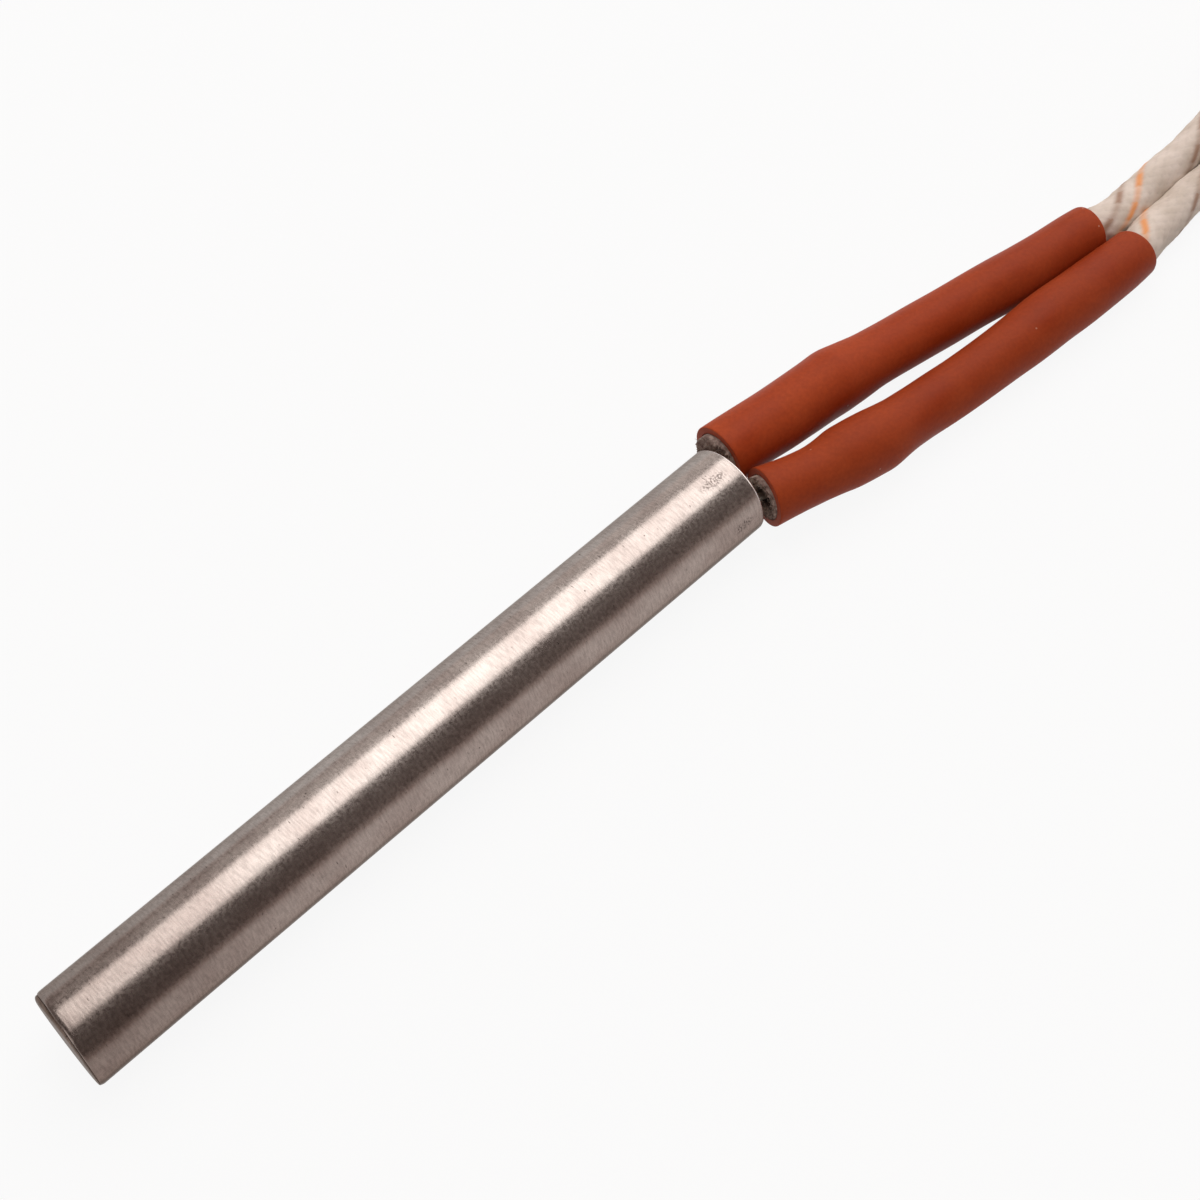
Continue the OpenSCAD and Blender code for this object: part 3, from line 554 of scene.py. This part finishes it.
class HEATER_OT_leads(bpy.types.Operator):
    """Makes the two braided leads as free cords with their stripped ends and the tie of the hank"""
    bl_idname = "heater.leads"
    bl_label = "Braided leads"

    def braid(self, look, which, material):
        """A tube whose radius follows a two over two braid. With N yarns each way, u = N(a/2pi + s/p) and
        v = N(a/2pi - s/p) number the yarns; the upper one shows its round back, sqrt(sin pi u), and dips at each
        crossing."""
        path = even(lead_path(which), 0.2)
        s = arc_length(path)[:, None]
        around = 56
        angle = (np.arange(around) * 2 * np.pi / around)[None, :]
        n, pitch = look.yarns, look.braid_pitch / MM
        phase, orange, brown = TRACERS[which]
        u = n * (angle / (2 * np.pi) + s / pitch) + phase
        v = n * (angle / (2 * np.pi) - s / pitch)
        upper = np.floor((np.floor(u) + np.floor(v)) / 2) % 2 < 0.5
        across, along = np.where(upper, u % 1, v % 1), np.where(upper, v % 1, u % 1)
        back = np.sqrt(np.sin(np.pi * across).clip(0)) * (0.55 + 0.45 * np.sin(np.pi * along))
        number = np.floor(u) % n
        thread = np.where(upper, 1.0, 0.55) * np.sin(np.pi * (u % 1)).clip(0) ** 0.8
        tint = np.stack([thread * (number == orange), thread * np.isin(number, brown), back], -1)
        wander = 0.05 * np.sin(s / 2.3 + (1 if which == "a" else 2)) + 0.04 * np.sin(s / 1.1 + 2 * angle)
        swell = np.interp(s, *SWELLS[which])
        radius = look.lead_diameter / MM / 2 - 0.05 + 0.1 * back + wander + swell
        points = sweep(path, radius, around)
        points[..., 2] = np.maximum(points[..., 2], RESTS_AT)
        faces = grid_faces(len(path), around)
        caps = end_caps(len(path), around)
        piece = make_piece(f"lead_{which}_braid", points, [faces, *caps], material,
                           (f"lead_{which}", "lead_hank") if which == "a" else (f"lead_{which}",), {"yarn": tint})
        return piece, path

    def strands(self, which, path, material):
        """Nineteen bare strands laid round the axis: circles of strands carried along a straight axis with a
        slow twist, splayed slightly at the tip."""
        rings, around, length, thick = 24, 8, 8.0, 0.21
        s = np.linspace(-0.6, length, rings)
        centres = [(0.0, 0.0)] + [(0.43 * math.cos(a), 0.43 * math.sin(a)) for a in np.arange(6) * math.pi / 3]
        centres += [(0.86 * math.cos(a), 0.86 * math.sin(a)) for a in np.arange(12) * math.pi / 6]
        points, faces = [], []
        for k, (y, z) in enumerate(centres):
            spin = 0.12 * s
            spread = 1 + 0.05 * (s / length).clip(0) ** 2
            axis = np.stack([s, spread * (y * np.cos(spin) - z * np.sin(spin)),
                             spread * (y * np.sin(spin) + z * np.cos(spin))], -1)
            first = k * rings * around
            points.append(sweep(path[-1] + axis, np.full(rings, thick), around).reshape(-1, 3))
            faces.append(grid_faces(rings, around, first))
            faces.extend(end_caps(rings, around, first))
        return make_piece(f"bare_strands_{which}", np.vstack(points), faces, material,
                          (f"bare_end_{which}",))

    def tie(self, material):
        """A nylon tie: a band with a thin wall round a rectangle in Y and Z with rounded corners, and a latch head
        with a slot."""
        lo, hi = (np.array(c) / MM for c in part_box("hank_tie"))
        thick, wide = 0.8, 4.0
        x = (lo[0] + hi[0]) / 2
        y0, y1, z0, z1 = lo[1] + thick, hi[1] - thick, lo[2] + thick, lo[2] + thick + 2 * LANE
        corner = np.arange(6) * np.pi / 10
        turns = [(y1, z1, 0), (y0, z1, 1), (y0, z0, 2), (y1, z0, 3)]
        inner, outer = [], []
        for cy, cz, quarter in turns:
            a = corner + quarter * np.pi / 2
            rim = np.stack([np.cos(a), np.sin(a)], -1)
            inset = np.array([cy, cz]) - 0.6 * np.sign([cy - (y0 + y1) / 2, cz - (z0 + z1) / 2])
            inner.append(inset + 0.6 * rim)
            outer.append(inset + (0.6 + thick) * rim)
        inner, outer = np.vstack(inner), np.vstack(outer)
        n = len(inner)
        xs = np.array([-wide / 2, -wide / 2 + 0.15, wide / 2 - 0.15, wide / 2])
        shrink = np.array([0.12, 0.0, 0.0, 0.12])
        centre = outer.mean(0)
        skins = [np.column_stack([np.full(n, x + at), outer - (outer - centre) * trim / 6])
                 for at, trim in zip(xs, shrink)]
        bores = [np.column_stack([np.full(n, x + at), inner]) for at in xs[::-1]]
        points = np.vstack(skins + bores)
        faces = [grid_faces(8, n), closing_faces(8, n)]
        first = len(points)
        top = z1 + thick
        head = np.array([[sx * 2.8, (y0 + y1) / 2 + sy * 1.8, z]
                         for z in (0.0, 1.0) for sx in (-1, 1) for sy in (-1, 1)])
        head[:, 0] += x
        head[:, 2] = top + head[:, 2] * (hi[2] - top)
        slot = head.copy()
        slot[:, 0] = x + (head[:, 0] - x) * 0.72
        slot[:, 1] = (y0 + y1) / 2 + (head[:, 1] - (y0 + y1) / 2) * 0.4
        points = np.vstack([points, head, slot])
        o, i = first + np.array([0, 1, 3, 2]), first + 8 + np.array([0, 1, 3, 2])
        walls = [[o[k], o[k] + 4, o[(k + 1) % 4] + 4, o[(k + 1) % 4]] for k in range(4)]
        walls += [[i[(k + 1) % 4], i[(k + 1) % 4] + 4, i[k] + 4, i[k]] for k in range(4)]
        walls += [[o[k] + 4, i[k] + 4, i[(k + 1) % 4] + 4, o[(k + 1) % 4] + 4] for k in range(4)]
        walls += [[o[(k + 1) % 4], i[(k + 1) % 4], i[k], o[k]] for k in range(4)]
        return make_piece("nylon_tie", points, faces + [np.array(walls)], material, ("hank_tie",),
                          shade=False)

    def execute(self, context):
        look = context.scene.heater
        keys = ("braid", "braid_dull", "tracer_orange", "tracer_brown")
        cloth = glass_braid({key: tuple(getattr(look, key)) for key in keys})
        # Bright grey strands that catch small highlights
        plated = dull_solid("nickel_plated_strands", "#b5aca0", "#9a9085", 0.3, 1.0, 3000.0)
        # Milky plastic with a waxy gloss
        nylon = dull_solid("natural_nylon", "#e6e4dc", "#d8d5cb", 0.45, 0.0, 500.0)
        tie = self.tie(nylon)
        for which in ("a", "b"):
            piece, path = self.braid(look, which, cloth)
            ends = [self.strands(which, path, plated)]
        return {"FINISHED"}


def lathe(profile, around):
    """A profile of (x, r) turned round the X axis from the underside: (x, r cos a, r sin a)."""
    profile = np.asarray(profile, float)
    angle = (np.arange(around) / around - 0.25) * 2 * np.pi
    x = np.broadcast_to(profile[:, :1], (len(profile), around))
    r = profile[:, 1:]
    return np.stack([x, r * np.cos(angle)[None, :], r * np.sin(angle)[None, :]], -1)


def lathe_uv(profile, around, radius):
    """Surface coordinates in millimetres at each corner of the turned quads: the length along the profile, and the
    arc from the underside at the given radius."""
    along = arc_length(np.asarray(profile, float))
    arc = np.arange(around + 1) * 2 * np.pi / around
    u, v = np.broadcast_arrays(along[:, None], radius * arc[None, :])
    grid = np.stack([u, v], -1)
    return np.stack([grid[:-1, :-1], grid[:-1, 1:], grid[1:, 1:], grid[1:, :-1]], 2)


def tip_u(x):
    """The surface coordinate along the sheath of a distance x from its lead end."""
    return x + SHEATH_END


class HEATER_OT_sheath(bpy.types.Operator):
    """Makes the ground sheath and its welded end disc"""
    bl_idname = "heater.sheath"
    bl_label = "Sheath and end disc"

    def execute(self, context):
        r = context.scene.heater.sheath_diameter / MM / 2
        tip = -SHEATH_END
        bore, around = r - SHEATH_WALL, 160
        quarter = r * np.pi / 2
        scuffs = (((tip_u(-2.9), 7.8 + quarter), (2.1, 0.8)), ((tip_u(-2.8), 13.4 + quarter), (1.6, 0.7)))
        # On the sheath: a painted highlight on the lip, painted shade of 0.58 on the bottom, and a painted
        # reflection tint on the lower side
        steel = ground_steel("ground_stainless_steel", "#b4aca7", "#a89e99", 0.27,
                             scuffs, "#d8d3d1", tip_u(-0.22), 0.58, "#f2e6e2")
        # The outline runs from the tip's rounded corner to the rim at the lead end and back along the bore
        turn = np.linspace(0, np.pi / 2, 7)
        rim = [(0.28 * math.sin(a) - 0.28, r - 0.28 + 0.28 * math.cos(a)) for a in turn]
        rim += [(0.0, bore + 0.15), (-0.15, bore)]
        outside = [(tip, r - 0.13), (tip + 0.1, r - 0.06), (tip + 0.24, r - 0.015), (tip + 0.4, r)]
        outside += [(x, r) for x in np.linspace(tip + 1, -1, 40)]
        profile = np.array(outside + rim + [(-4.0, bore), (tip, bore)])
        points = lathe(profile, around)
        # The seam's lean fades out over 3 mm
        seam = SEAM_LEAN[0] * points[..., 1] / r + SEAM_LEAN[1]
        points[..., 0] += np.interp(points[..., 0], [tip, tip + 3], [1, 0]) * seam
        joint = closing_faces(len(profile), around)
        sides = lathe_uv(profile, around, r).reshape(-1, 2)
        make_piece("ground_sheath", points, [grid_faces(len(profile), around), joint], steel,
                   ("sheath_tube",), uv=np.vstack([sides, np.zeros((4 * around, 2))]))
        # Darker and duller steel, browned by the weld
        weld = ground_steel("welded_end_steel", "#8b7b72", "#6c5e56", 0.36)
        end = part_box("end_disc")[0][0] / MM
        edge = [(end + 0.28 * (1 - math.sin(a)), r - 0.72 + 0.6 * math.cos(a)) for a in turn]
        face = [(end, q) for q in (3.4, 2.2, 1.0, 0.02)]
        inner = [(tip + 2.0, 0.02), (tip + 2.0, bore - 0.05), (tip, bore - 0.05), (tip - 0.01, r - 0.2)]
        profile = np.array([(tip - 0.03, r - 0.115)] + edge + face)[::-1]
        profile = np.vstack([profile, inner[::-1]])
        points = lathe(profile, around)
        seam, front = (slope * points[..., 1] / r + shift for slope, shift in (SEAM_LEAN, FACE_LEAN))
        share = (points[..., 0] - end) / (tip - end)
        leant = end + front + share * (tip + seam - end - front)
        points[..., 0] = np.where(share <= 1, leant, points[..., 0])
        caps = end_caps(len(profile), around)
        faces = [grid_faces(len(profile), around), *caps]
        corners = np.concatenate([f.ravel() for f in faces])
        make_piece("welded_end_disc", points, faces, weld, ("end_disc",),
                   uv=points.reshape(-1, 3)[corners, 1:])
        return {"FINISHED"}


def rubber_wall(inward):
    """Thickness of the rubber in millimetres: 0.52, and 0.2 more at the cut end by a bell curve 0.8 mm wide."""
    return 0.52 + 0.2 * np.exp(-(inward / 0.8) ** 2)


class HEATER_OT_sleeves(bpy.types.Operator):
    """Makes the two rubber sleeves with their cut ends"""
    bl_idname = "heater.sleeves"
    bl_label = "Rubber sleeves"

    def execute(self, context):
        look = context.scene.heater
        rubber = silicone_rubber({key: tuple(getattr(look, key)) for key in ("rubber", "rubber_light")})
        for which in ("a", "b"):
            self.sleeve(which, rubber)
        return {"FINISHED"}

    def sleeve(self, which, material):
        """A tube along the route: outside radius from the rows plus low waves, rounded cut edges, and a bore a
        wall's thickness inside."""
        route, rows = spline(ROUTES[which], 24), SLEEVE_ROWS[which]
        x0, x1 = rows[0][0], rows[-1][0]
        around = 96
        x = np.concatenate([x0 + np.array([0.0, 0.001, 0.002, 0.003, 0.03, 0.09]),
                            np.linspace(x0 + 0.3, x1 - 0.4, 200), x1 - 0.3 * np.array([0.9, 0.5, 0.2, 0.0])])
        path = at_x(route, x)
        r, wall = smooth_rows(rows, x), rubber_wall(x - x0)
        angle = (np.arange(around) * 2 * np.pi / around)[None, :]
        phase = 0.4 if which == "a" else 2.1
        wave = 0.035 * np.sin(x / 1.9 + phase)[:, None] * np.cos(angle - 1.2 + phase)
        wave = wave + 0.03 * np.sin(x / 3.7 + 2 * phase)[:, None] * np.cos(2 * angle + phase)
        for at, reach, toward, high in SLEEVE_BUMPS[which]:
            swell = high * np.exp(-((x - at) / reach) ** 2)
            wave = wave + swell[:, None] * np.cos(angle - math.radians(toward)).clip(0)
        edge = np.interp(x, [x1 - 0.3, x1 - 0.12, x1], [0.0, 0.07, 0.24])
        edge[:5] = wall[0] - 0.05, wall[0] - 0.08, 0.12, 0.09, 0.03
        outer = sweep(path, r[:, None] + wave - edge[:, None], around)
        inner = sweep(path[4:], ((r - wall)[:, None] + wave)[4:], around)[::-1]
        points = np.concatenate([outer, inner])
        points[..., 2] = np.maximum(points[..., 2], RESTS_AT)
        rings = len(points)
        faces = [grid_faces(rings, around), closing_faces(rings, around)]
        finish = np.zeros((rings, around, 3))
        finish[:4, :, 0] = finish[len(outer):, :, 0] = 1.0
        # Painted shade: sleeve b is darkened to 0.86 all along, and sleeve a from 0.98 to 0.9 between 25 and 40 mm
        finish[..., 1] = 0.86 if which == "b" else np.interp(points[..., 0], [25, 40], [0.98, 0.9])
        make_piece(f"rubber_sleeve_{which}", points, faces, material, (f"sleeve_{which}",),
                   {"finish": finish})


def mouth_frame(which):
    """The middle of a sleeve's cut end with its heading, side and lift directions."""
    route, x0 = spline(ROUTES[which], 24), ROUTES[which][0][0]
    path = at_x(route, [x0, x0 + 0.5])
    return (path[0], *(way[0] for way in frames(path)))


def mouth_point(which, f, angle, lump):
    """Points of the felted front: f runs from 0 at the rubber to 1 at the throat, round the angle. The radius falls
    evenly with f, and the front stands out by a quarter ellipse in f less 0.45 f^2."""
    out, lean, toward, offset, throat = MOUTHS[which]
    start, t, side, lift = mouth_frame(which)
    f, angle = np.broadcast_arrays(f, angle)
    rim = SLEEVE_ROWS[which][0][1] - 0.76
    stand = out + lean * np.cos(angle - math.radians(toward))
    axial = stand * np.sqrt((1 - ((f - 0.3) / 0.75) ** 2).clip(0)) - 0.45 * f ** 2 + lump
    radius = rim + (throat - rim) * f
    ring = (radius * np.cos(angle) + offset * f)[..., None] * side + (radius * np.sin(angle))[..., None] * lift
    return start - axial[..., None] * t + ring


class HEATER_OT_linings(bpy.types.Operator):
    """Makes the glass-fibre linings with their frayed ends"""
    bl_idname = "heater.linings"
    bl_label = "Frayed linings"

    def execute(self, context):
        # The lining colours: a brownish glass mat whose red cast is painted bounce light from the red rubber
        mat = frayed_fibre("frayed_glass_lining", linear("#64504a"), linear("#bdaaa0"))
        # Single paler fibres that catch the light round the cut ends
        loose = frayed_fibre("loose_glass_fibres", linear("#85736a"), linear("#c4b6ac"))
        for which, seed in (("a", 11), ("b", 23)):
            self.lining(which, mat, seed)
            self.fray(which, context.scene.heater.fibres, loose, seed + 1)
        return {"FINISHED"}

    def lining(self, which, material, seed):
        """A tube inside the sleeve whose end is bunched into a felted ring round the pin. Its rings run from the
        throat out over the front, forwards along the outside and back along the bore; seeded lumps roughen the
        front."""
        rng = np.random.default_rng(seed)
        route, rows = spline(ROUTES[which], 24), SLEEVE_ROWS[which]
        offset, throat = MOUTHS[which][3:]
        x0, x1, around = rows[0][0], rows[-1][0], 120
        angle = (np.arange(around) * 2 * np.pi / around)[None, :]
        f = np.linspace(1.0, 0.0, 18)[:, None]
        lumps = rng.normal(size=(len(f) + 2, around))
        middle = lumps[1:-1]
        lumps = (lumps[:-2] + 1.5 * middle + lumps[2:] + np.roll(middle, 1, 1) + np.roll(middle, -1, 1)) / 2.7
        front = mouth_point(which, f, angle, 0.11 * lumps)
        x = np.linspace(x0 + 0.05, x1 - 0.1, 140)
        path = at_x(route, x)
        r_out = smooth_rows(rows, x) - rubber_wall(x - x0) - 0.03
        outer = sweep(path, r_out, around)
        back = x[::-1][x[::-1] > x0 + 0.6]
        open_up = np.clip((back - x0 - 0.6) / 4.0, 0, 1)
        path = at_x(route, back)
        path = path + (offset * (1 - open_up))[:, None] * frames(path[::-1])[1][::-1]
        r_in = throat * (1 - open_up) + (smooth_rows(rows, back) - 0.85) * open_up
        inner = sweep(path[::-1], r_in[::-1], around)[::-1]
        points = np.concatenate([front, outer, inner])
        rings = len(points)
        rim = closing_faces(rings, around)
        # Painted shade: the front rings next to the pin and the whole bore are set to darken towards near black
        painted_recess_shade = np.zeros((rings, around, 3))
        painted_recess_shade[:4] = np.array([1.0, 0.9, 0.6, 0.25])[:, None, None]
        painted_recess_shade[len(front) + len(outer):] = 1.0
        make_piece(f"fibre_lining_{which}", points, [grid_faces(rings, around), rim], material,
                   (f"sleeve_lining_{which}",), {"throat": painted_recess_shade})

    def fray(self, which, count, material, seed):
        """Loose fibres: each is a thin three-sided tube along p + s d + s^2 b, with a seeded root on the cut ring,
        a direction d mostly towards the sheath and a bend b."""
        rng = np.random.default_rng(seed)
        t, side, lift = mouth_frame(which)[1:]
        angle = rng.uniform(0, 2 * np.pi, count)
        spoke = np.cos(angle)[:, None] * side + np.sin(angle)[:, None] * lift
        round_way = -np.sin(angle)[:, None] * side + np.cos(angle)[:, None] * lift
        root = mouth_point(which, rng.uniform(0.0, 0.8, count), angle, -0.05)
        toward = -t * rng.uniform(0.1, 0.75, count)[:, None] + spoke * rng.normal(-0.1, 0.28, count)[:, None]
        toward = toward + round_way * rng.normal(0, 0.75, count)[:, None]
        toward /= np.linalg.norm(toward, axis=1, keepdims=True)
        bend = rng.normal(0, 0.5, (count, 3))
        length = rng.uniform(0.2, 0.6, count)[:, None, None]
        rings, around = 6, 3
        s = np.linspace(0, 1, rings)[None, :, None]
        line = root[:, None] + length * s * toward[:, None] + length * s ** 2 * 0.5 * bend[:, None]
        line[..., 0] = np.maximum(line[..., 0], 0.25)
        thick = (rng.uniform(0.02, 0.036, count)[:, None, None] * (1 - 0.6 * s))[..., None]
        a = np.array([1.0, 0.0, 0.0]) - toward * toward[:, :1]
        a /= np.linalg.norm(a, axis=1, keepdims=True)
        b = np.cross(toward, a)
        corner = np.arange(around) * 2 * np.pi / around
        ring = np.cos(corner)[None, :, None] * a[:, None] + np.sin(corner)[None, :, None] * b[:, None]
        points = line[:, :, None, :] + thick * ring[:, None, :, :]
        base = (np.arange(count) * rings * around)[:, None, None]
        faces = [base + grid_faces(rings, around), base + np.vstack(end_caps(rings, around))]
        make_piece(f"loose_fibres_{which}", points, faces, material)


class HEATER_OT_inner(bpy.types.Operator):
    """Gives the parts inside the heater their finishes"""
    bl_idname = "heater.inner"
    bl_label = "Inner parts"

    def execute(self, context):
        # Chalky cream body without gloss
        ceramic = dull_solid("fired_ceramic", "#e8e2d4", "#d9d1c0", 0.7, 0.0, 1400.0)
        # Flat sandy packing
        powder = dull_solid("compacted_magnesia", "#e0d6c2", "#cfc3ab", 0.95, 0.0, 3500.0)
        # Dark metal under a thin scale
        wire = dull_solid("oxidised_resistance_wire", "#6a645f", "#4f4a47", 0.5, 1.0, 2500.0)
        # Pale metal with soft bright lines
        nickel = dull_solid("drawn_nickel", "#c4bcb2", "#aaa299", 0.28, 1.0, 1800.0)
        # Grey metal with a worn, even sheen
        crimp = dull_solid("tumbled_crimp_steel", "#a8a6a2", "#8c8a86", 0.4, 1.0, 1800.0)
        finishes = {
            "tip_spacer": ceramic, "winding_core": ceramic, "lead_end_seal": ceramic, "insulating_fill": powder,
            "resistance_coil": wire, "terminal_pin_a": nickel, "terminal_pin_b": nickel,
            "crimp_barrel_a": crimp, "crimp_barrel_b": crimp, "conductor_a": nickel, "conductor_b": nickel,
        }
        for node, material in finishes.items():
            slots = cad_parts[node].data.materials
            slots.clear()
            slots.append(material)
        return {"FINISHED"}


class HEATER_PT_panel(bpy.types.Panel):
    """Lists the heater's steps and settings"""
    bl_idname = "HEATER_PT_panel"
    bl_label = "Cartridge heater"
    bl_space_type = "VIEW_3D"
    bl_region_type = "UI"
    bl_category = "Heater"

    def draw(self, context):
        for step in STEPS:
            self.layout.operator(step.bl_idname)
        for key in HeaterLook.__annotations__:
            self.layout.prop(context.scene.heater, key)


STEPS = (HEATER_OT_stage, HEATER_OT_leads, HEATER_OT_sheath, HEATER_OT_sleeves, HEATER_OT_linings, HEATER_OT_inner)
CLASSES = (HeaterLook, *STEPS, HEATER_PT_panel)


def register():
    for cls in CLASSES:
        bpy.utils.register_class(cls)
    bpy.types.Scene.heater = bpy.props.PointerProperty(type=HeaterLook)


def unregister():
    del bpy.types.Scene.heater
    for cls in reversed(CLASSES):
        bpy.utils.unregister_class(cls)


def main():
    register()
    bpy.ops.heater.stage()
    bpy.ops.heater.leads()
    bpy.ops.heater.sheath()
    bpy.ops.heater.sleeves()
    bpy.ops.heater.linings()
    bpy.ops.heater.inner()


if __name__ == "__main__":
    main()
